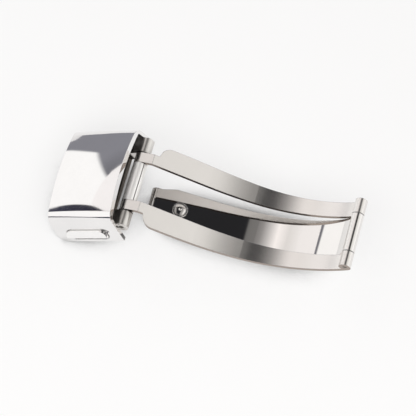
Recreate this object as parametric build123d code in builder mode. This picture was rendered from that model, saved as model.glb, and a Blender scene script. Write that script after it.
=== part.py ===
from build123d import *
import os
from math import asin, atan2, cos, degrees, hypot, radians, sin, sqrt

# All sizes in millimetres and all angles in degrees.
# X runs along the blades, away from the box. Y runs along the hinge pins, with the near side at -Y.
# Z is up. The clasp lies open, wrist side up, on its latch stud and on the box's far edge.

# Bent strips: the two frame arms and the inner blade share one curve
sheet = 0.8
tab_angle = 10.0
lead_angle = 18.0
lead_run = 13.75
mid_radius = 53.0
mid_angle = 10.5
end_radius = 26.0
end_angle = 49.0
pin_to_face = 2.5
slot_half = 4.18
tab_width = 2.1
arm_start = 3.4
arm_slant = 0.5
arm_half = 8.57
arm_corner = 2.2
arm_straight = 3.2
barrel_half = 7.28
open_angle = 11.5
blade_gap = 0.13

# Hinges
knuckle_radius = 1.42
box_pin_radius = 0.45
barrel_radius = 1.2
blade_pin_radius = 0.4
pin_running = 0.04
pin_press = 0.01
seat_gap = 0.02
pin_recess = 0.4
seam_width = 0.16
seam_angle = 35.0

# Strap tube rolled under the inner blade's free end, which just clears the box hinge
strap_tube_radius = 1.2
strap_tube_bore = 0.7
strap_tube_half = 3.25
strap_tube_clearance = 0.12
blade_taper = 2.6

# Latch stud and its collar
stud_station = 7.7
stud_neck_radius = 0.9
stud_head_radius = 1.5
stud_head = 0.6
stud_head_edge = 0.12
stud_reach = 2.35
stud_rivet_radius = 1.12
stud_rivet = 0.28
stud_dome = 0.12
stud_dimple_radius = 0.32
stud_dimple = 0.14
collar_radius = 1.53
collar_bore = 1.26
collar_height = 0.2

# Box cover: its rim at the hinge leans in towards the foot and its far end leans out
rim_overhang = 0.1
rim_lean = 0.7
box_length = 15.05
end_lean = 0.9
crown = 5.5
crown_bow = 1.3
length_bow = 0.25
inner_bow = 1.0
skirt = 2.95
skirt_corner = 1.5
shoulder_half = 10.1
foot_half = 11.1
shoulder_fillet = 2.2
inner_fillet = 0.5
side_wall = 0.8
top_wall = 1.25

# Pusher slot in each side wall
slot_station = 8.1
slot_level = -0.75
slot_length = 10.0
slot_height = 3.2

# Box chassis
floor_front = 2.35
floor_rear = 13.2
floor_thickness = 0.65
floor_middle_half = 4.86
notch_depth = 0.7
rib_start = 3.0
front_rib = 1.1
rear_rib = 1.0
tube_relief = 0.7
knuckle_inner = 6.45
knuckle_outer = 9.6

# Latch: two sliding plates, one above the other
latch_play = 0.05
latch_travel = 0.7
slider_thickness = 0.5
slider_side_play = 0.15
slider_far_reach = 3.2
window_half = 1.6
window_open = 2.3
tongue_half = 3.0
tongue_length = 0.35
retainer_thickness = 0.5
stud_hole_radius = 1.75

# Latch springs, each in a pocket cut through both sliders
spring_radius = 0.45
spring_bore = 0.25
spring_half = 1.25
pocket_play = 0.05
spring_web = 0.5

# Pushers
flange_length = 10.6
flange_height = 2.6
flange_thickness = 0.4
flange_gap = 0.06
cap_gap = 0.15
cap_stand = 0.19
cap_ridge = 0.6

# Retainer screws
screw_radius = 0.3
screw_head_radius = 0.5
screw_head = 0.22
screw_length = 1.3
screw_edge = 0.28
screw_slot = 0.14
screw_slot_depth = 0.1

# Strap bar across the box
bar_station = 13.55
bar_level = 2.3
bar_radius = 0.6
bar_bore = 0.42
bar_half = 8.7
bar_lip = 0.4
tip_head_radius = 0.38
tip_head = 0.8
tip_radius = 0.28
tip_play = 0.04
tip_engaged = 0.4
tip_socket = 0.5
tip_travel = 0.5
bar_spring_radius = 0.34
bar_spring_bore = 0.2

# One overrun for every cut
overrun = 1.0


def step(start, heading, run, rise=0):
    """Point reached from a start by a run along a heading and a rise to its left."""
    turn = radians(heading)
    return (start[0] + run * cos(turn) - rise * sin(turn), start[1] + run * sin(turn) + rise * cos(turn))


def swung(point, centre, angle):
    """Point turned about a centre."""
    return step(centre, angle, point[0] - centre[0], point[1] - centre[1])


def crease(depth):
    """Where a tab meets its arm, at a depth under the wrist face, seen from the box pin."""
    tab, lead = knuckle_radius - depth, pin_to_face - depth
    rise, fall = radians(tab_angle), radians(lead_angle)
    across = (lead * cos(rise) - tab * cos(fall)) / sin(rise + fall)
    up = (lead * sin(rise) + tab * sin(fall)) / sin(rise + fall)
    return (across, up)


# Places along the strips, in the side view from the box pin
box_pin = (0, 0)
foot = step(box_pin, -lead_angle, 0, pin_to_face)
bend_start = step(foot, -lead_angle, lead_run)
mid_centre = step(bend_start, -lead_angle, 0, mid_radius)
mid_end = swung(bend_start, mid_centre, mid_angle)
end_centre = step(mid_end, mid_angle - lead_angle, 0, end_radius)
strip_end = swung(mid_end, end_centre, end_angle)
end_heading = mid_angle + end_angle - lead_angle
blade_pin = step(strip_end, end_heading, 0, barrel_radius - sheet)

# The strap tube's centre: under the blade's lead, and short of the box hinge when the blade swings by
tube_line = step(foot, -lead_angle, 0, -strap_tube_radius)
tube_reach = hypot(*blade_pin) - knuckle_radius - strap_tube_clearance - strap_tube_radius
pin_ahead, pin_aside = swung((blade_pin[0] - tube_line[0], blade_pin[1] - tube_line[1]), (0, 0), lead_angle)
tube_station = pin_ahead - sqrt(tube_reach**2 - pin_aside**2)
strap_tube = step(tube_line, -lead_angle, tube_station)
blade_start = step(foot, -lead_angle, tube_station)
blade_start_under = step(foot, -lead_angle, tube_station, -sheet)

# Height of the box pin over the surface: the stud's head touches it
stud_low = step(foot, -lead_angle, stud_station + stud_head_radius - stud_head_edge, -sheet - stud_reach)
pin_height = -swung(stud_low, blade_pin, open_angle)[1]

# Half height of the blocks that cut the strips to their plan
plan_reach = pin_height + overrun


def rim_at(level):
    """Where the cover's rim lies along the box, at a level over its pin."""
    return rim_overhang - rim_lean * (crown - level) / (crown + skirt)


def end_at(level):
    """Where the cover's far end lies along the box, at a level over its pin."""
    return rim_overhang - box_length - end_lean * (crown - level) / (crown + skirt)


# Tilt of the box: its rounded far corner touches the same surface
end_slope = hypot(crown + skirt, end_lean) / (crown + skirt)
corner_out = -end_at(skirt_corner - skirt) - skirt_corner * end_slope
corner_down = skirt - skirt_corner
corner_rise = asin((pin_height - skirt_corner) / hypot(corner_out, corner_down))
box_tilt = degrees(corner_rise - atan2(corner_down, corner_out))

# The origin lies on the surface, under the middle of the clasp's length
left_reach = crown * sin(radians(box_tilt)) - end_at(crown) * cos(radians(box_tilt))
right_reach = blade_pin[0] + barrel_radius
pin_x = (left_reach - right_reach) / 2
box_axis = Vector(pin_x, 0, pin_height)
blade_axis = box_axis + Vector(blade_pin[0], 0, blade_pin[1])

# Views of the frame, of the blade turned about its pin, and of the tilted box
frame_side = Plane(box_axis, x_dir=(1, 0, 0), z_dir=(0, -1, 0))
frame_plan = Plane(box_axis)
blade_x = Vector(cos(radians(open_angle)), 0, sin(radians(open_angle)))
blade_up = Vector(-sin(radians(open_angle)), 0, cos(radians(open_angle)))
blade_origin = blade_axis - blade_x * blade_pin[0] - blade_up * blade_pin[1]
blade_side = Plane(blade_origin, x_dir=blade_x, z_dir=(0, -1, 0))
blade_plan = Plane(blade_origin, x_dir=blade_x, z_dir=blade_up)
box_x = Vector(cos(radians(box_tilt)), 0, sin(radians(box_tilt)))
box_up = Vector(-sin(radians(box_tilt)), 0, cos(radians(box_tilt)))
box_side = Plane(box_axis, x_dir=box_x, z_dir=(0, -1, 0))
box_across = Plane(box_axis, x_dir=(0, 1, 0), z_dir=box_x)


def box_plan(level):
    """Plan view of the box at a level over its pin."""
    return Plane(box_axis + box_up * level, x_dir=box_x, z_dir=box_up)


# The crown's bow along the box, about an axis far under it
half_length = box_length / 2
bow_radius = (half_length**2 + length_bow**2) / (2 * length_bow)
bow_angle = degrees(asin((half_length + end_lean + overrun) / bow_radius))
bow_centre = box_axis + box_x * (rim_overhang - half_length) + box_up * (crown + length_bow - bow_radius)
bow_up = box_up.rotate(Axis.Y, bow_angle)
bow_along = box_x.rotate(Axis.Y, bow_angle)
bow_section = Plane(bow_centre + bow_up * (bow_radius - crown), x_dir=(0, 1, 0), z_dir=bow_along)

# Levels inside the box, over its pin, with the crown up
shoulder = crown - crown_bow
inner_crown = crown - top_wall
inner_shoulder = inner_crown - inner_bow
floor_top = knuckle_radius
floor_under = floor_top - floor_thickness
head_under = stud_reach - stud_head - (pin_to_face - sheet)
far_slider_top = head_under - latch_play
near_slider_top = far_slider_top - slider_thickness - latch_play
retainer_top = near_slider_top - slider_thickness - latch_play
retainer_under = retainer_top - retainer_thickness

# The latch mechanism lies between the chassis ribs
latch_middle = (rib_start + front_rib + floor_rear - rear_rib) / 2
slider_half = (floor_rear - rear_rib - rib_start - front_rib) / 2 - slider_side_play


def wall_half(level):
    """Half width over the cover's side walls at a level."""
    return foot_half - (foot_half - shoulder_half) * (level + skirt) / (shoulder + skirt)


flange_out = wall_half(slot_level + flange_height / 2) - side_wall - flange_gap
flange_in = flange_out - flange_thickness
cap_out = wall_half(slot_level) + cap_stand
ridge_out = cap_out + cap_ridge
mechanism_half = flange_in - latch_travel - latch_play

# Where the screws stand in the ribs, in the box plan
screw_row = mechanism_half - screw_edge - screw_head_radius - pin_press
screw_places = [
    (-station, row)
    for station in (rib_start + front_rib / 2, floor_rear - rear_rib / 2)
    for row in (-screw_row, screw_row)
]

sides = {"near": -1, "far": 1}
os.makedirs("parts", exist_ok=True)


def strip_outline(start, under):
    """Closed side outline of a bent strip, from its start to the far barrel."""
    bend_under = step(bend_start, -lead_angle, 0, -sheet)
    with BuildLine() as outline:
        Line(start, bend_start)
        CenterArc(mid_centre, mid_radius, -90 - lead_angle, mid_angle)
        CenterArc(end_centre, end_radius, -90 - lead_angle + mid_angle, end_angle)
        Line(strip_end, step(strip_end, end_heading, 0, -sheet))
        CenterArc(end_centre, end_radius + sheet, -90 + end_heading, -end_angle)
        CenterArc(mid_centre, mid_radius + sheet, -90 - lead_angle + mid_angle, -mid_angle)
        Line(bend_under, under)
        Line(under, start)
    return outline.line


# The two frame arms: each ends in a narrow tab rolled round the box pin and a barrel round the blade pin
for name, side in sides.items():
    with BuildPart() as arm:
        with BuildSketch(frame_side):
            make_face(strip_outline(crease(0), crease(sheet)))
            with BuildLine():
                tab_top = step(box_pin, tab_angle, 0, knuckle_radius)
                tab_under = step(box_pin, tab_angle, 0, knuckle_radius - sheet)
                Polyline(tab_top, crease(0), crease(sheet), tab_under, close=True)
            make_face()
            with Locations(box_pin):
                Circle(knuckle_radius)
                Circle(box_pin_radius + pin_press, mode=Mode.SUBTRACT)
            with Locations(blade_pin):
                Circle(barrel_radius)
                Circle(blade_pin_radius + pin_press, mode=Mode.SUBTRACT)
        extrude(amount=arm_half, both=True)
        with BuildSketch(frame_plan):
            with BuildLine():
                corner = (arm_start + arm_slant, side * arm_half)
                taper = (corner[0] + arm_straight, side * arm_half)
                last = (blade_pin[0], side * barrel_half)
                third = (last[0] - taper[0]) / 3
                Polyline(taper, corner, (arm_start, side * (slot_half + tab_width)))
                Polyline(
                    (arm_start, side * (slot_half + tab_width)),
                    (-knuckle_radius, side * (slot_half + tab_width)),
                    (-knuckle_radius, side * slot_half),
                    (last[0] + barrel_radius, side * slot_half),
                    (last[0] + barrel_radius, side * barrel_half),
                    last,
                )
                Bezier(last, (last[0] - third, last[1]), (taper[0] + third, taper[1]), taper)
            make_face()
            fillet(vertices().sort_by_distance(corner)[0], arm_corner)
        extrude(amount=plan_reach, both=True, mode=Mode.INTERSECT)
    arm.part.label = f"arm_{name}"
    export_step(arm.part, f"parts/arm_{name}.step")

# Rolled spacer between the two tabs, with its seam
with BuildPart() as spacer:
    with BuildSketch(frame_side):
        Circle(knuckle_radius)
        Circle(box_pin_radius + pin_press, mode=Mode.SUBTRACT)
        Rectangle(
            seam_width,
            knuckle_radius + overrun,
            rotation=-seam_angle,
            align=(Align.CENTER, Align.MIN),
            mode=Mode.SUBTRACT,
        )
    extrude(amount=slot_half - seat_gap, both=True)
spacer.part.label = "hinge_spacer"
export_step(spacer.part, "parts/hinge_spacer.step")

# Pin of the box hinge, through both chassis knuckles, both tabs and the spacer
with BuildPart() as box_hinge_pin:
    with BuildSketch(frame_side):
        Circle(box_pin_radius)
    extrude(amount=knuckle_outer - pin_recess, both=True)
box_hinge_pin.part.label = "box_hinge_pin"
export_step(box_hinge_pin.part, "parts/box_hinge_pin.step")

# Pin of the blade hinge, through both arm barrels and the blade's barrel
with BuildPart() as blade_hinge_pin:
    with BuildSketch(frame_side):
        with Locations(blade_pin):
            Circle(blade_pin_radius)
    extrude(amount=barrel_half - pin_recess, both=True)
blade_hinge_pin.part.label = "blade_hinge_pin"
export_step(blade_hinge_pin.part, "parts/blade_hinge_pin.step")

# Where the stud stands on the blade's wrist face
lead_x = blade_x.rotate(Axis.Y, lead_angle)
lead_up = blade_up.rotate(Axis.Y, lead_angle)
stud_origin = blade_side.from_local_coords(step(foot, -lead_angle, stud_station))
stud_side = Plane(stud_origin, x_dir=lead_x, z_dir=(0, -1, 0))
stud_top = Plane(stud_origin, x_dir=lead_x, z_dir=lead_up)

# Inner blade: the same strip in one piece, with the rolled strap tube at its free end
with BuildPart() as inner_blade:
    with BuildSketch(blade_side):
        make_face(strip_outline(blade_start, blade_start_under))
        with Locations(strap_tube):
            Circle(strap_tube_radius)
            Circle(strap_tube_bore, mode=Mode.SUBTRACT)
        with Locations(blade_pin):
            Circle(barrel_radius)
            Circle(blade_pin_radius + pin_running, mode=Mode.SUBTRACT)
    extrude(amount=slot_half, both=True)
    with BuildSketch(blade_plan):
        blade_half = slot_half - blade_gap
        blade_last = blade_pin[0] + barrel_radius
        tube_left = strap_tube[0] - strap_tube_radius
        tube_right = strap_tube[0] + strap_tube_radius
        Polygon(
            (tube_left, -strap_tube_half),
            (tube_right, -strap_tube_half),
            (tube_right + blade_taper, -blade_half),
            (blade_last, -blade_half),
            (blade_last, blade_half),
            (tube_right + blade_taper, blade_half),
            (tube_right, strap_tube_half),
            (tube_left, strap_tube_half),
            align=None,
        )
    extrude(amount=plan_reach, both=True, mode=Mode.INTERSECT)
    with BuildSketch(stud_top):
        Circle(stud_neck_radius + pin_press)
    extrude(amount=sheet + overrun, both=True, mode=Mode.SUBTRACT)
inner_blade.part.label = "inner_blade"
export_step(inner_blade.part, "parts/inner_blade.step")

# Latch stud: a mushroom head on the outer side, riveted over on the wrist side
with BuildPart() as latch_stud:
    with BuildSketch(stud_side):
        with BuildLine():
            stud_end = -sheet - stud_reach
            rivet_top = stud_rivet + stud_dome
            Polyline(
                (stud_rivet_radius, stud_rivet),
                (stud_rivet_radius, 0),
                (stud_neck_radius, 0),
                (stud_neck_radius, stud_end + stud_head),
                (stud_head_radius, stud_end + stud_head),
                (stud_head_radius, stud_end + stud_head_edge),
                (stud_head_radius - stud_head_edge, stud_end),
                (0, stud_end),
                (0, rivet_top - stud_dimple),
                (stud_dimple_radius, rivet_top),
            )
            TangentArc((stud_dimple_radius, rivet_top), (stud_rivet_radius, stud_rivet), tangent=(1, 0))
        make_face()
    revolve(axis=Axis(stud_origin, lead_up))
latch_stud.part.label = "latch_stud"
export_step(latch_stud.part, "parts/latch_stud.step")

# Collar ring round the riveted end
with BuildPart() as stud_collar:
    with BuildSketch(stud_top):
        Circle(collar_radius)
        Circle(collar_bore, mode=Mode.SUBTRACT)
    extrude(amount=collar_height)
stud_collar.part.label = "stud_collar"
export_step(stud_collar.part, "parts/stud_collar.step")

# Box cover: domed across, with flaring side walls, open at both ends, slotted for the pushers
with BuildPart() as box_cover:
    with BuildSketch(bow_section):
        low = -skirt - overrun
        outer_foot = wall_half(low)
        with BuildLine():
            Polyline(
                (-shoulder_half, shoulder),
                (-outer_foot, low),
                (outer_foot, low),
                (shoulder_half, shoulder),
            )
            ThreePointArc((-shoulder_half, shoulder), (0, crown), (shoulder_half, shoulder))
        make_face()
        fillet(vertices().group_by(Axis.Y)[-1], shoulder_fillet)
    revolve(axis=Axis(bow_centre, (0, -1, 0)), revolution_arc=2 * bow_angle)
    with BuildSketch(box_across):
        inner_foot = outer_foot - side_wall
        inner_top = wall_half(inner_shoulder) - side_wall
        with BuildLine():
            Polyline(
                (-inner_top, inner_shoulder),
                (-inner_foot, low),
                (inner_foot, low),
                (inner_top, inner_shoulder),
            )
            ThreePointArc((-inner_top, inner_shoulder), (0, inner_crown), (inner_top, inner_shoulder))
        make_face()
        fillet(vertices().group_by(Axis.Y)[-1], inner_fillet)
    extrude(amount=box_length + end_lean + overrun, both=True, mode=Mode.SUBTRACT)
    with BuildSketch(box_side):
        high = crown + overrun
        end_top = (end_at(high), high)
        rim_foot = (rim_at(-skirt), -skirt)
        with BuildLine():
            FilletPolyline(end_top, (end_at(-skirt), -skirt), rim_foot, radius=skirt_corner)
            Polyline(rim_foot, (rim_at(high), high), end_top)
        make_face()
    extrude(amount=foot_half + overrun, both=True, mode=Mode.INTERSECT)
    with BuildSketch(box_side):
        with Locations((-slot_station, slot_level)):
            SlotOverall(slot_length, slot_height)
    extrude(amount=foot_half + overrun, both=True, mode=Mode.SUBTRACT)
    with BuildSketch(box_side):
        with Locations((-bar_station, bar_level)):
            Circle(tip_radius + tip_play)
    extrude(amount=wall_half(bar_level) - side_wall + tip_socket, both=True, mode=Mode.SUBTRACT)
box_cover.part.label = "box_cover"
export_step(box_cover.part, "parts/box_cover.step")

# Chassis: a floor between the cover's walls, two ribs under it and a knuckle at each side of the hinge.
# The front rib stands back between the knuckles, clear of the folded strap tube.
with BuildPart() as box_chassis:
    with BuildSketch(box_across):
        floor_top_half = wall_half(floor_top) - side_wall
        floor_under_half = wall_half(floor_under) - side_wall
        Polygon(
            (-floor_top_half, floor_top),
            (-floor_under_half, floor_under),
            (floor_under_half, floor_under),
            (floor_top_half, floor_top),
            align=None,
        )
    extrude(amount=-floor_rear)
    with BuildSketch(box_side):
        Circle(knuckle_radius)
    extrude(amount=knuckle_outer, both=True)
    with BuildSketch(box_side):
        rib_height = floor_under - retainer_top
        with Locations((-rib_start - front_rib / 2, retainer_top)):
            Rectangle(front_rib, rib_height, align=(Align.CENTER, Align.MIN))
        with Locations((-floor_rear + rear_rib / 2, retainer_top)):
            Rectangle(rear_rib, rib_height, align=(Align.CENTER, Align.MIN))
    extrude(amount=mechanism_half, both=True)
    with BuildSketch(box_plan(floor_under)):
        with Locations((-rib_start, 0)):
            Rectangle(tube_relief, 2 * knuckle_inner, align=(Align.MAX, Align.CENTER))
    extrude(amount=-rib_height, mode=Mode.SUBTRACT)
    with BuildSketch(box_plan(0)):
        with Locations((-floor_front, 0)):
            hinge_reach = floor_front + knuckle_radius + overrun
            Rectangle(hinge_reach, 2 * knuckle_inner, align=(Align.MIN, Align.CENTER))
        with Locations((-floor_front, floor_middle_half), (-floor_front, -knuckle_inner)):
            Rectangle(notch_depth, knuckle_inner - floor_middle_half, align=(Align.MAX, Align.MIN))
    extrude(amount=crown, both=True, mode=Mode.SUBTRACT)
    with BuildSketch(box_side):
        Circle(box_pin_radius + pin_running)
    extrude(amount=knuckle_outer + overrun, both=True, mode=Mode.SUBTRACT)
    with BuildSketch(box_plan(retainer_top)):
        with Locations(*screw_places):
            Circle(screw_radius + pin_press)
    extrude(amount=screw_length, mode=Mode.SUBTRACT)
box_chassis.part.label = "box_chassis"
export_step(box_chassis.part, "parts/box_chassis.step")

# Retainer plate, screwed under the ribs: the stud's head passes its hole,
# and the folded strap tube passes the relief in its front edge
with BuildPart() as latch_retainer:
    with BuildSketch(box_plan(retainer_under)):
        with Locations((-rib_start, 0)):
            Rectangle(floor_rear - rib_start, 2 * mechanism_half, align=(Align.MAX, Align.CENTER))
            Rectangle(tube_relief, 2 * knuckle_inner, align=(Align.MAX, Align.CENTER), mode=Mode.SUBTRACT)
        with Locations((-stud_station, 0)):
            Circle(stud_hole_radius, mode=Mode.SUBTRACT)
    extrude(amount=retainer_thickness)
    with BuildSketch(box_plan(retainer_under)):
        with Locations(*screw_places):
            Circle(screw_radius + pin_press)
    extrude(amount=retainer_thickness, mode=Mode.SUBTRACT)
    with BuildSketch(box_plan(retainer_under)):
        with Locations(*screw_places):
            Circle(screw_head_radius + pin_press)
    extrude(amount=screw_head, mode=Mode.SUBTRACT)
latch_retainer.part.label = "latch_retainer"
export_step(latch_retainer.part, "parts/latch_retainer.step")

# Four countersunk retainer screws
with BuildPart() as retainer_screws:
    with BuildSketch(box_plan(retainer_under)):
        with Locations(*screw_places):
            Circle(screw_radius)
    extrude(amount=screw_length)
    with BuildSketch(box_plan(retainer_under)):
        with Locations(*screw_places):
            Circle(screw_head_radius)
    extrude(amount=screw_head)
    with BuildSketch(box_plan(retainer_under)):
        with Locations(*screw_places):
            Rectangle(2 * screw_head_radius, screw_slot)
    extrude(amount=screw_slot_depth, mode=Mode.SUBTRACT)
retainer_screws.part.label = "retainer_screws"
export_step(retainer_screws.part, "parts/retainer_screws.step")

# Latch springs, lying across the box in the sliders' pockets, drawn at their pressed length
spring_offset = slider_half - spring_web - spring_radius - pocket_play
spring_level = (far_slider_top + near_slider_top - slider_thickness) / 2
for name, place in (("front", spring_offset - latch_middle), ("rear", -spring_offset - latch_middle)):
    with BuildPart() as latch_spring:
        with BuildSketch(box_side):
            with Locations((place, spring_level)):
                Circle(spring_radius)
                Circle(spring_bore, mode=Mode.SUBTRACT)
        extrude(amount=spring_half, both=True)
    latch_spring.part.label = f"latch_spring_{name}"
    export_step(latch_spring.part, f"parts/latch_spring_{name}.step")

# Latch sliders: each plate's window catches the stud's neck on the side away from its own pusher
slider_tops = {"near": near_slider_top, "far": far_slider_top}
pocket_half = spring_half + latch_travel + pocket_play
for name, side in sides.items():
    with BuildPart() as slider:
        with BuildSketch(box_plan(slider_tops[name])):
            tail = flange_in - seat_gap
            catch = stud_neck_radius + pocket_play
            with Locations((-latch_middle, side * (tail - slider_far_reach) / 2)):
                Rectangle(2 * slider_half, tail + slider_far_reach)
            with Locations((-latch_middle, side * (tail + tongue_length / 2))):
                Rectangle(2 * tongue_half, tongue_length)
            with Locations((-stud_station, side * (window_open - catch) / 2)):
                Rectangle(2 * window_half, window_open + catch, mode=Mode.SUBTRACT)
            with Locations((spring_offset - latch_middle, 0), (-spring_offset - latch_middle, 0)):
                Rectangle(2 * (spring_radius + pocket_play), 2 * pocket_half, mode=Mode.SUBTRACT)
        extrude(amount=-slider_thickness)
    slider.part.label = f"slider_{name}"
    export_step(slider.part, f"parts/slider_{name}.step")

# Pushers: a ridged cap through the cover's slot, on a flange behind the wall
for name, side in sides.items():
    with BuildPart() as pusher:
        with BuildSketch(box_side.offset(-side * flange_in)):
            with Locations((-slot_station, slot_level)):
                SlotOverall(flange_length, flange_height)
        extrude(amount=-side * flange_thickness)
        with BuildSketch(box_side.offset(-side * flange_in)):
            with Locations((-slot_station, slot_level)):
                SlotOverall(slot_length - 2 * cap_gap, slot_height - 2 * cap_gap)
        extrude(amount=-side * (ridge_out - flange_in))
        with BuildSketch(box_across):
            cap_half = slot_height / 2 - cap_gap
            Polygon(
                (side * flange_in, slot_level - cap_half),
                (side * cap_out, slot_level - cap_half),
                (side * ridge_out, slot_level),
                (side * cap_out, slot_level + cap_half),
                (side * flange_in, slot_level + cap_half),
                align=None,
            )
        extrude(amount=-box_length, mode=Mode.INTERSECT)
        with BuildSketch(box_side.offset(-side * flange_in)):
            with Locations((-latch_middle, slider_tops[name] - slider_thickness / 2)):
                Rectangle(2 * (tongue_half + seat_gap), slider_thickness + 2 * seat_gap)
        extrude(amount=-side * tongue_length, mode=Mode.SUBTRACT)
    pusher.part.label = f"pusher_{name}"
    export_step(pusher.part, f"parts/pusher_{name}.step")

# Strap bar: a tube across the box, open at both ends for its sprung tips
bar_view = (-bar_station, bar_level)
with BuildPart() as strap_bar_tube:
    with BuildSketch(box_side):
        with Locations(bar_view):
            Circle(bar_radius)
            Circle(tip_radius + tip_play, mode=Mode.SUBTRACT)
    extrude(amount=bar_half, both=True)
    with BuildSketch(box_side):
        with Locations(bar_view):
            Circle(bar_bore)
    extrude(amount=bar_half - bar_lip, both=True, mode=Mode.SUBTRACT)
strap_bar_tube.part.label = "strap_bar_tube"
export_step(strap_bar_tube.part, "parts/strap_bar_tube.step")

# Strap bar tips: a head inside the tube and a shank into the cover's wall
head_out = bar_half - bar_lip - seat_gap
shank_out = wall_half(bar_level) - side_wall + tip_engaged
for name, side in sides.items():
    with BuildPart() as bar_tip:
        with BuildSketch(box_side.offset(-side * (head_out - tip_head))):
            with Locations(bar_view):
                Circle(tip_head_radius)
        extrude(amount=-side * tip_head)
        with BuildSketch(box_side.offset(-side * head_out)):
            with Locations(bar_view):
                Circle(tip_radius)
        extrude(amount=-side * (shank_out - head_out))
    bar_tip.part.label = f"bar_tip_{name}"
    export_step(bar_tip.part, f"parts/bar_tip_{name}.step")

# Spring between the strap bar's tips, drawn at its pressed length
with BuildPart() as strap_bar_spring:
    with BuildSketch(box_side):
        with Locations(bar_view):
            Circle(bar_spring_radius)
            Circle(bar_spring_bore, mode=Mode.SUBTRACT)
    extrude(amount=head_out - tip_head - tip_travel - seat_gap, both=True)
strap_bar_spring.part.label = "strap_bar_spring"
export_step(strap_bar_spring.part, "parts/strap_bar_spring.step")
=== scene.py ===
import bpy
from math import pi
from mathutils import Matrix, Vector


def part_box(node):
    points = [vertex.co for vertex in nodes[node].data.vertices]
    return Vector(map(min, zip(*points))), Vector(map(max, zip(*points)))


# Looks, floor, light and camera for a steel deployant clasp. All lengths are in metres.

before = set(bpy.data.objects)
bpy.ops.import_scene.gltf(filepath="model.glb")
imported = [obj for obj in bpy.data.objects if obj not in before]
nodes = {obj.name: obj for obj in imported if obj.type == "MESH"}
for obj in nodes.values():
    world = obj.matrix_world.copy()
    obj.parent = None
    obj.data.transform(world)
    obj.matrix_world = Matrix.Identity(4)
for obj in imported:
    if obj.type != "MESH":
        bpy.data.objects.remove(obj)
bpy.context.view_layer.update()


class Graph:
    """A small helper that adds shader nodes and links their sockets."""

    def __init__(self, owner):
        owner.use_nodes = True
        self.tree = owner.node_tree
        self.tree.nodes.clear()

    def add(self, kind, values=None, **settings):
        node = self.tree.nodes.new(kind)
        for key, value in settings.items():
            setattr(node, key, value)
        for key, value in (values or {}).items():
            node.inputs[key].default_value = value
        return node

    def link(self, source, target):
        self.tree.links.new(source, target)

    def math(self, operation, first, second=0.0, clamp=False):
        """Does a sum on numbers or sockets."""
        node = self.add("ShaderNodeMath", operation=operation, use_clamp=clamp)
        for socket, value in zip(node.inputs, (first, second)):
            if isinstance(value, (int, float)):
                socket.default_value = value
            else:
                self.link(value, socket)
        return node.outputs[0]

    def spread(self, value, source, target=(0.0, 1.0), smooth=False):
        """Maps a value from one range to another."""
        node = self.add("ShaderNodeMapRange", clamp=True)
        if smooth:
            node.interpolation_type = "SMOOTHSTEP"
        self.link(value, node.inputs["Value"])
        for key, number in zip(("From Min", "From Max", "To Min", "To Max"), (*source, *target)):
            node.inputs[key].default_value = number
        return node.outputs["Result"]

    def band(self, value, limits, blur):
        """One between two limits and nought outside them, with soft edges."""
        low, high = limits
        rise = self.spread(value, (low - blur, low + blur), (0.0, 1.0), smooth=True)
        fall = self.spread(value, (high - blur, high + blur), (1.0, 0.0), smooth=True)
        return self.math("MULTIPLY", rise, fall)

    def mix(self, factor, first, second):
        """Blends two colours, each given as a value or a socket."""
        node = self.add("ShaderNodeMix", data_type="RGBA")
        self.link(factor, node.inputs["Factor"])
        for index, colour in ((6, first), (7, second)):
            if isinstance(colour, tuple):
                node.inputs[index].default_value = (*colour, 1)
            else:
                self.link(colour, node.inputs[index])
        return node.outputs[2]

    def ramp(self, value, stops):
        """Colours a value by stops, each a place from nought to one and a colour."""
        node = self.add("ShaderNodeValToRGB")
        elements = node.color_ramp.elements
        while len(elements) < len(stops):
            elements.new(0.5)
        for element, (place, _) in zip(elements, stops):
            element.position = place
        for element, (_, colour) in zip(elements, stops):
            element.color = (*colour, 1)
        self.link(value, node.inputs["Fac"])
        return node.outputs["Color"]

    def axes(self, vector):
        """Splits a direction or a place into its X, Y and Z."""
        node = self.add("ShaderNodeSeparateXYZ")
        self.link(vector, node.inputs[0])
        return node.outputs["X"], node.outputs["Y"], node.outputs["Z"]


noise_roughness = 0.55


def noise(graph, vector, scale, stretch=(1, 1, 1), detail=3.0):
    """Noise with a feature size of about 1/scale metres, stretched along each axis."""
    mapping = graph.add("ShaderNodeMapping", {"Scale": stretch})
    graph.link(vector, mapping.inputs["Vector"])
    values = {"Scale": scale, "Detail": detail, "Roughness": noise_roughness}
    texture = graph.add("ShaderNodeTexNoise", values)
    graph.link(mapping.outputs["Vector"], texture.inputs["Vector"])
    return texture.outputs["Fac"]


# What all the steels share. Edges: how far the painted edge highlight reaches, which also stands
# for wear, and the cosines where it starts and is full
edge_radius = 0.00012
edge_samples = 6
edge_cosines = (0.995, 0.90)

# Smears: clouds left by handling, with finer ones in them
cloud_scale = 220.0
cloud_share = 0.7
fine_scale = 1900.0
fine_detail = 5.0
smear_range = (0.30, 0.72)

# Cut edges of a strip, darkened with painted shade for the shaded floor that they mirror: how square
# they stand to the hinge pins where the painted shade starts and is full
cut_shade_range = (0.72, 0.95)
cut_shade_streaks = 0.06
cut_shade_colour = (0.26, 0.20, 0.16)

# Painted shade in recesses, brown and found by occlusion, which thins out from the middle of the
# clasp to its sides
shelter_distance = 0.006
shelter_samples = 8
shelter_patches = 0.10
painted_shade_fade = 0.32
painted_shade_sides = (0.0064, 0.0067)
painted_shade_left = 0.30
painted_shade_colour = (0.045, 0.034, 0.024)

# Grain and hairline scratches
grain_detail = 6.0
hair_scale = 900.0
hair_stretch = (9.0, 0.5, 3.0)
hair_detail = 2.0
hair_range = (0.70, 0.74)
hair_depth = 0.6
bump_distance = 0.00001


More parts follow.
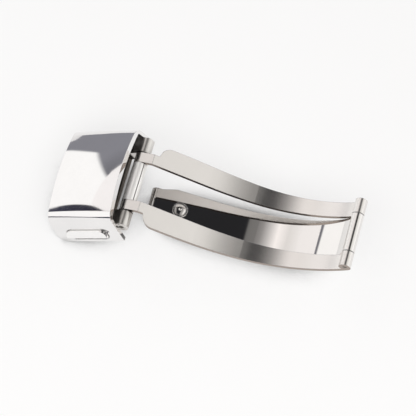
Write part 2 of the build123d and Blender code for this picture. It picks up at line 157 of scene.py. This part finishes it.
def steel(
    name,
    colour,
    rubbed_highlight_colour,
    rough,
    grain,
    stretch,
    scale,
    bump,
    smear=0.02,
    painted_shade=0.0,
    painted_shade_reach=0.66,
    metal=1.0,
    cut=0.0,
):
    """Steel with a grain, faint smears, scratches, a painted highlight on the edges and painted shade
    in recesses and on cut edges.

    Colour is the plain colour, and the second colour a painted highlight on the edges that also
    stands for wear.
    Rough is the middle roughness, which the grain and the smears vary. Stretch, scale and bump shape
    the grain.
    The shade amounts say how much painted shade darkens the recesses and the cut edges, and the reach
    how far out of a recess it lies.
    """
    material = bpy.data.materials.new(name)
    graph = Graph(material)
    shader = graph.add("ShaderNodeBsdfPrincipled", {"Metallic": metal})
    output = graph.add("ShaderNodeOutputMaterial")
    graph.link(shader.outputs["BSDF"], output.inputs["Surface"])
    coordinates = graph.add("ShaderNodeTexCoord")
    place = coordinates.outputs["Object"]

    # Edges: a bevelled normal compared with the true one
    bevel = graph.add("ShaderNodeBevel", {"Radius": edge_radius}, samples=edge_samples)
    geometry = graph.add("ShaderNodeNewGeometry")
    turn = graph.add("ShaderNodeVectorMath", operation="DOT_PRODUCT")
    graph.link(bevel.outputs["Normal"], turn.inputs[0])
    graph.link(geometry.outputs["Normal"], turn.inputs[1])
    rubbed_highlight = graph.spread(turn.outputs["Value"], edge_cosines)

    # Colour: smears darken it a little, and the edges get a painted highlight, which also stands for
    # wear
    cloud = noise(graph, place, cloud_scale)
    fine = noise(graph, place, fine_scale, detail=fine_detail)
    coarse_part = graph.math("MULTIPLY", cloud, cloud_share)
    fine_part = graph.math("MULTIPLY", fine, 1 - cloud_share)
    tone = graph.math("ADD", coarse_part, fine_part)
    smeared = tuple(channel * (1 - 2 * smear) for channel in colour)
    tinted = graph.ramp(tone, list(zip(smear_range, (smeared, colour))))
    tinted = graph.mix(rubbed_highlight, tinted, rubbed_highlight_colour)

    # Cut edges, square to the hinge pins: painted shade, brownish, for the shaded floor that they
    # mirror
    if cut:
        facing = graph.axes(coordinates.outputs["Normal"])[1]
        streaks = graph.math("MULTIPLY", fine, cut_shade_streaks)
        square = graph.math("ADD", graph.math("ABSOLUTE", facing), streaks)
        tinted = graph.mix(graph.spread(square, cut_shade_range, (0.0, cut)), tinted, cut_shade_colour)

    # Recesses: painted shade, brown and dark, where the occlusion says shade falls
    if painted_shade:
        shelter = graph.add(
            "ShaderNodeAmbientOcclusion", {"Distance": shelter_distance}, samples=shelter_samples
        )
        patches = graph.math("MULTIPLY", fine, shelter_patches)
        patchy = graph.math("ADD", shelter.outputs["AO"], patches)
        shade_amount = graph.spread(patchy, (painted_shade_reach - painted_shade_fade, painted_shade_reach), (painted_shade, 0.0))
        outward = graph.math("ABSOLUTE", graph.axes(place)[1])
        shade_amount = graph.math("MULTIPLY", shade_amount, graph.spread(outward, painted_shade_sides, (1.0, painted_shade_left)))
        tinted = graph.mix(shade_amount, tinted, painted_shade_colour)
    graph.link(tinted, shader.inputs["Base Color"])

    # Roughness: the grain, plus smears
    lines = noise(graph, place, scale, stretch, detail=grain_detail)
    grained = graph.math("MULTIPLY", lines, grain)
    varied = graph.math("ADD", grained, graph.math("MULTIPLY", cloud, smear))
    roughness = graph.math("ADD", varied, rough - grain / 2 - smear / 2, clamp=True)
    graph.link(roughness, shader.inputs["Roughness"])

    # Bump: the grain, with sparse hairline scratches
    hair = noise(graph, place, hair_scale, hair_stretch, detail=hair_detail)
    scratch = graph.math("MULTIPLY", graph.spread(hair, hair_range), hair_depth)
    relief = graph.add("ShaderNodeBump", {"Strength": bump, "Distance": bump_distance})
    graph.link(graph.math("SUBTRACT", lines, scratch), relief.inputs["Height"])
    graph.link(bevel.outputs["Normal"], relief.inputs["Normal"])
    graph.link(relief.outputs["Normal"], shader.inputs["Normal"])
    return material


# In each steel the second colour is a painted highlight on the edges, which also stands for wear.
polished = steel(
    "polished_steel",
    colour=(0.87, 0.86, 0.855),
    rubbed_highlight_colour=(0.93, 0.92, 0.91),
    rough=0.04,
    grain=0.02,
    stretch=(1.0, 1.0, 1.0),
    scale=2600.0,
    bump=0.01,
)
buffed = steel(
    "buffed_steel",
    colour=(0.95, 0.94, 0.93),
    rubbed_highlight_colour=(0.97, 0.96, 0.95),
    rough=0.12,
    grain=0.04,
    stretch=(0.2, 1.0, 1.0),
    scale=3400.0,
    bump=0.03,
)
mirror = steel(
    "mirror_steel",
    colour=(0.84, 0.82, 0.80),
    rubbed_highlight_colour=(0.93, 0.92, 0.91),
    rough=0.04,
    grain=0.02,
    stretch=(0.10, 1.0, 1.0),
    scale=4200.0,
    bump=0.012,
)
# Satin steel carries painted shade in its recesses and on its cut edges.
satin = steel(
    "satin_steel",
    colour=(0.84, 0.815, 0.79),
    rubbed_highlight_colour=(0.94, 0.93, 0.92),
    rough=0.24,
    grain=0.08,
    stretch=(0.06, 1.0, 1.0),
    scale=5200.0,
    bump=0.14,
    painted_shade=0.9,
    cut=0.85,
)
# Soft steel carries painted shade in its recesses.
soft = steel(
    "soft_steel",
    colour=(0.84, 0.82, 0.79),
    rubbed_highlight_colour=(0.93, 0.92, 0.90),
    rough=0.34,
    grain=0.10,
    stretch=(0.30, 1.0, 1.0),
    scale=4800.0,
    bump=0.18,
    painted_shade=0.97,
    painted_shade_reach=1.10,
)
# Rolled steel carries painted shade in its recesses.
rolled = steel(
    "rolled_steel",
    colour=(0.95, 0.94, 0.92),
    rubbed_highlight_colour=(0.97, 0.96, 0.94),
    rough=0.36,
    grain=0.14,
    stretch=(1.0, 0.08, 1.0),
    scale=3800.0,
    bump=0.30,
    painted_shade=0.95,
    metal=0.5,
)
pin_steel = steel(
    "pin_steel",
    colour=(0.72, 0.70, 0.68),
    rubbed_highlight_colour=(0.90, 0.89, 0.88),
    rough=0.20,
    grain=0.08,
    stretch=(1.0, 0.1, 1.0),
    scale=4000.0,
    bump=0.12,
)
spring_steel = steel(
    "spring_steel",
    colour=(0.60, 0.58, 0.56),
    rubbed_highlight_colour=(0.80, 0.79, 0.78),
    rough=0.30,
    grain=0.12,
    stretch=(1.0, 3.0, 1.0),
    scale=3000.0,
    bump=0.20,
)
slider_steel = steel(
    "slider_steel",
    colour=(0.70, 0.68, 0.66),
    rubbed_highlight_colour=(0.88, 0.87, 0.86),
    rough=0.28,
    grain=0.12,
    stretch=(1.0, 0.08, 1.0),
    scale=4600.0,
    bump=0.20,
)

finishes = {
    polished: ["box_cover"],
    buffed: ["pusher_near", "pusher_far"],
    mirror: ["inner_blade", "latch_stud", "stud_collar"],
    satin: ["arm_near", "arm_far"],
    soft: ["box_chassis", "latch_retainer"],
    rolled: ["hinge_spacer"],
    pin_steel: [
        "box_hinge_pin",
        "blade_hinge_pin",
        "retainer_screws",
        "strap_bar_tube",
        "bar_tip_near",
        "bar_tip_far",
    ],
    spring_steel: ["latch_spring_front", "latch_spring_rear", "strap_bar_spring"],
    slider_steel: ["slider_near", "slider_far"],
}
for material, names in finishes.items():
    for name in names:
        for slot in nodes[name].material_slots:
            slot.material = material

# Floor: plain and pale. To the camera and to the metal it shows mostly its own colour. It keeps a
# soft shadow, and its own colour carries a painted shadow beneath the clasp, darkest where the clasp
# closes it in.
floor_half = 3.0
floor_tones = [(0.0, (0.938, 0.935, 0.933)), (1.0, (0.952, 0.949, 0.947))]
floor_cloud_scale = 30.0
floor_roughness = 0.85
floor_specular = 0.1
own_share = 0.75
direct_depth = 1.5
# Painted shadow beneath the clasp: how far the occlusion looks, its samples, the range over which the
# glow fades, and the glow left where it is deepest.
painted_shadow_distance = 0.010
painted_shadow_samples = 12
painted_shadow_range = (0.40, 0.64)
painted_shadow_light = 0.05

floor_material = bpy.data.materials.new("pale_floor")
graph = Graph(floor_material)
floor_finish = {"Roughness": floor_roughness, "Specular IOR Level": floor_specular}
shader = graph.add("ShaderNodeBsdfPrincipled", floor_finish)
place = graph.add("ShaderNodeTexCoord").outputs["Object"]
floor_colour = graph.ramp(noise(graph, place, floor_cloud_scale), floor_tones)
graph.link(floor_colour, shader.inputs["Base Color"])
glow = graph.add("ShaderNodeEmission")
painted_shadow_ao = graph.add(
    "ShaderNodeAmbientOcclusion", {"Distance": painted_shadow_distance}, samples=painted_shadow_samples
)
# Painted shadow: the floor's own glow is darkened where the clasp closes it in.
glow_with_painted_shadow = graph.spread(painted_shadow_ao.outputs["AO"], painted_shadow_range, (painted_shadow_light, 1.0))
graph.link(glow_with_painted_shadow, glow.inputs["Strength"])
graph.link(floor_colour, glow.inputs["Color"])
path = graph.add("ShaderNodeLightPath")
first = graph.math("LESS_THAN", path.outputs["Ray Depth"], direct_depth)
seen = graph.math("MAXIMUM", path.outputs["Is Camera Ray"], path.outputs["Is Glossy Ray"])
own = graph.math("MULTIPLY", graph.math("MULTIPLY", seen, first), own_share)
either = graph.add("ShaderNodeMixShader")
graph.link(own, either.inputs["Fac"])
graph.link(shader.outputs["BSDF"], either.inputs[1])
graph.link(glow.outputs["Emission"], either.inputs[2])
output = graph.add("ShaderNodeOutputMaterial")
graph.link(either.outputs["Shader"], output.inputs["Surface"])

floor_mesh = bpy.data.meshes.new("floor")
corners = [(-1, -1), (1, -1), (1, 1), (-1, 1)]
points = [(x * floor_half, y * floor_half, 0) for x, y in corners]
floor_mesh.from_pydata(points, [], [(0, 1, 2, 3)])
floor_mesh.materials.append(floor_material)
floor = bpy.data.objects.new("floor", floor_mesh)
bpy.context.scene.collection.objects.link(floor)

# World: plain white to the camera. To the metal it is a dim studio, with pale walls to the left
# and right, pale panels overhead and a grey one in front. Only directions count in it, each
# divided by its reach to the left, to the right or upward.
world = bpy.data.worlds.new("studio")
bpy.context.scene.world = world
graph = Graph(world)
least_reach = 0.001
x, y, z = graph.axes(graph.add("ShaderNodeTexCoord").outputs["Generated"])

# Left walls: a near one and a far one with its corner cut off, and an arched dark gap between them
far_sides = (-1.0, 0.66)
far_blur = 0.012
far_top = (0.43, 0.445)
far_slant = 0.74
far_corner = (0.71, 0.74)
near_heights = (0.09, 0.75)
near_blur = 0.02
near_end = (-0.97, -0.95)
arch_level = 0.33
arch_bend = 1.6
arch_near = (0.070, 0.076)
arch_far = (0.118, 0.124)

leftward = graph.math("MAXIMUM", graph.math("MULTIPLY", x, -1.0), least_reach)
aside = graph.math("DIVIDE", y, leftward)
above = graph.math("DIVIDE", z, leftward)
slant = graph.math("ADD", graph.math("MULTIPLY", aside, far_slant), above)
lift = graph.math("SUBTRACT", above, arch_level)
bulge = graph.math("MULTIPLY", graph.math("MULTIPLY", lift, lift), arch_bend)
arched = graph.math("ADD", aside, bulge)
far_wall = graph.math(
    "MULTIPLY",
    graph.spread(slant, far_corner, (1.0, 0.0)),
    graph.spread(above, far_top, (1.0, 0.0)),
)
far_wall = graph.math("MULTIPLY", graph.band(aside, far_sides, far_blur), far_wall)
far_wall = graph.math("MULTIPLY", far_wall, graph.spread(arched, arch_far))
near_wall = graph.math(
    "MULTIPLY",
    graph.spread(arched, arch_near, (1.0, 0.0)),
    graph.band(above, near_heights, near_blur),
)
near_wall = graph.math("MULTIPLY", near_wall, graph.spread(aside, near_end))
walls = graph.math("ADD", far_wall, near_wall, clamp=True)

# Overhead: pale panels to the left and right with a dark gap between them, by slope from the left
# end to the right. The left walls' arched gap runs on into them.
panel_stops = [
    (-2.33, (1.06, 1.025, 1.015)),
    (-1.20, (1.04, 1.01, 1.00)),
    (-0.80, (0.88, 0.85, 0.83)),
    (-0.56, (1.12, 1.07, 1.05)),
    (-0.38, (0.60, 0.58, 0.57)),
    (-0.25, (0.26, 0.25, 0.245)),
    (-0.135, (0.19, 0.185, 0.18)),
    (-0.125, (0.022, 0.022, 0.024)),
    (0.180, (0.022, 0.022, 0.024)),
    (0.200, (0.36, 0.35, 0.34)),
    (0.36, (0.46, 0.45, 0.435)),
    (0.50, (0.96, 0.945, 0.92)),
    (1.25, (0.96, 0.945, 0.92)),
]
panel_ends = (panel_stops[0][0], panel_stops[-1][0])
panel_run = panel_ends[1] - panel_ends[0]
panel_end_blur = 0.01
panel_sides = (-0.30, 2.2)
panel_side_blur = 0.02
arch_limits = (0.073, 0.121)
arch_blur = 0.003
arch_fade = (0.60, 0.75)

upward = graph.math("MAXIMUM", z, least_reach)
slope = graph.math("DIVIDE", x, upward)
depth = graph.math("DIVIDE", y, upward)
stops = [((at - panel_ends[0]) / panel_run, tone) for at, tone in panel_stops]
panels = graph.ramp(graph.spread(slope, panel_ends), stops)
ceiling = graph.math(
    "MULTIPLY",
    graph.band(depth, panel_sides, panel_side_blur),
    graph.band(slope, panel_ends, panel_end_blur),
)
arch = graph.math(
    "MULTIPLY",
    graph.band(arched, arch_limits, arch_blur),
    graph.spread(above, arch_fade, (1.0, 0.0)),
)
ceiling = graph.math("MULTIPLY", ceiling, graph.math("SUBTRACT", 1.0, arch))

# Right wall: low and pale
right_sides = (-0.35, 1.3)
right_side_blur = 0.02
right_heights = (0.02, 0.80)
right_height_blur = 0.01

rightward = graph.math("MAXIMUM", x, least_reach)
right_aside = graph.math("DIVIDE", y, rightward)
right_above = graph.math("DIVIDE", z, rightward)
right_wall = graph.math(
    "MULTIPLY",
    graph.band(right_aside, right_sides, right_side_blur),
    graph.band(right_above, right_heights, right_height_blur),
)
walls = graph.math("ADD", walls, right_wall, clamp=True)

# Front panel: grey and soft-edged, for the faces that are seen from behind
front_sides = (-2.4, -0.75)
front_blur = 0.2

front_panel = graph.band(depth, front_sides, front_blur)

# What is left of the studio: dark blue in front, hazy at the back and nearly black higher up.
# The panels and walls lie over it.
low_front_colour = (0.020, 0.020, 0.045)
low_back_colour = (0.27, 0.27, 0.30)
haze_range = (0.05, 0.40)
high_colour = (0.022, 0.022, 0.024)
high_range = (0.25, 0.60)
front_panel_colour = (0.50, 0.49, 0.485)
wall_colour = (1.12, 1.11, 1.10)
camera_white = (0.95, 0.95, 0.95, 1)

around = graph.mix(graph.spread(y, haze_range), low_front_colour, low_back_colour)
around = graph.mix(graph.spread(z, high_range), around, high_colour)
around = graph.mix(front_panel, around, front_panel_colour)
around = graph.mix(walls, around, wall_colour)
around = graph.mix(ceiling, around, panels)
felt = graph.add("ShaderNodeBackground", {"Strength": 1.0})
graph.link(around, felt.inputs["Color"])
seen = graph.add("ShaderNodeBackground", {"Color": camera_white, "Strength": 1.0})
path = graph.add("ShaderNodeLightPath")
either = graph.add("ShaderNodeMixShader")
graph.link(path.outputs["Is Camera Ray"], either.inputs["Fac"])
graph.link(felt.outputs["Background"], either.inputs[1])
graph.link(seen.outputs["Background"], either.inputs[2])
output = graph.add("ShaderNodeOutputWorld")
graph.link(either.outputs["Shader"], output.inputs["Surface"])

# Lamp: a level soft panel over the floor in front of the clasp, of a given brightness. It lights
# the floor, and the metal doesn't mirror it.
lamp_low = (-0.50, -0.95)
lamp_high = (0.60, -0.25)
lamp_height = 0.60
lamp_radiance = 3.60

lamp_data = bpy.data.lights.new("front_overhead", "AREA")
lamp_data.shape = "RECTANGLE"
lamp_data.size = lamp_high[0] - lamp_low[0]
lamp_data.size_y = lamp_high[1] - lamp_low[1]
lamp_data.energy = lamp_radiance * lamp_data.size * lamp_data.size_y * pi
lamp_data.color = (1.0, 0.995, 0.99)
lamp = bpy.data.objects.new("front_overhead", lamp_data)
bpy.context.scene.collection.objects.link(lamp)
lamp_x, lamp_y = [(first + last) / 2 for first, last in zip(lamp_low, lamp_high)]
lamp.location = (lamp_x, lamp_y, lamp_height)
lamp.visible_camera = False
lamp.visible_glossy = False

# Camera: the photograph's angle, aimed a little beside the box hinge. The focal length and the
# hinge's place in the picture are in the photograph's pixels.
photo_pixels = 416
focal_pixels = 2198
hinge_left = 73.4
hinge_up = 24.4
away = 0.429
back = Vector((0.1130, -0.4026, 0.9083))
right = Vector((0.9628, 0.2703, 0.0))

low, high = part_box("box_hinge_pin")
hinge = (Vector(low) + Vector(high)) / 2
up = back.cross(right)
aim = (-back + right * (hinge_left / focal_pixels) - up * (hinge_up / focal_pixels)).normalized()
side = (right - aim * right.dot(aim)).normalized()
camera_data = bpy.data.cameras.new("camera")
camera_data.sensor_width = 36.0
camera_data.lens = camera_data.sensor_width * focal_pixels / photo_pixels
camera_data.clip_start = 0.01
camera_data.clip_end = 20.0
camera = bpy.data.objects.new("camera", camera_data)
bpy.context.scene.collection.objects.link(camera)
turned = Matrix((side, (-aim).cross(side), -aim)).transposed()
camera.matrix_world = Matrix.Translation(hinge + back * away) @ turned.to_4x4()
bpy.context.scene.camera = camera

bpy.context.scene.view_settings.view_transform = "Standard"
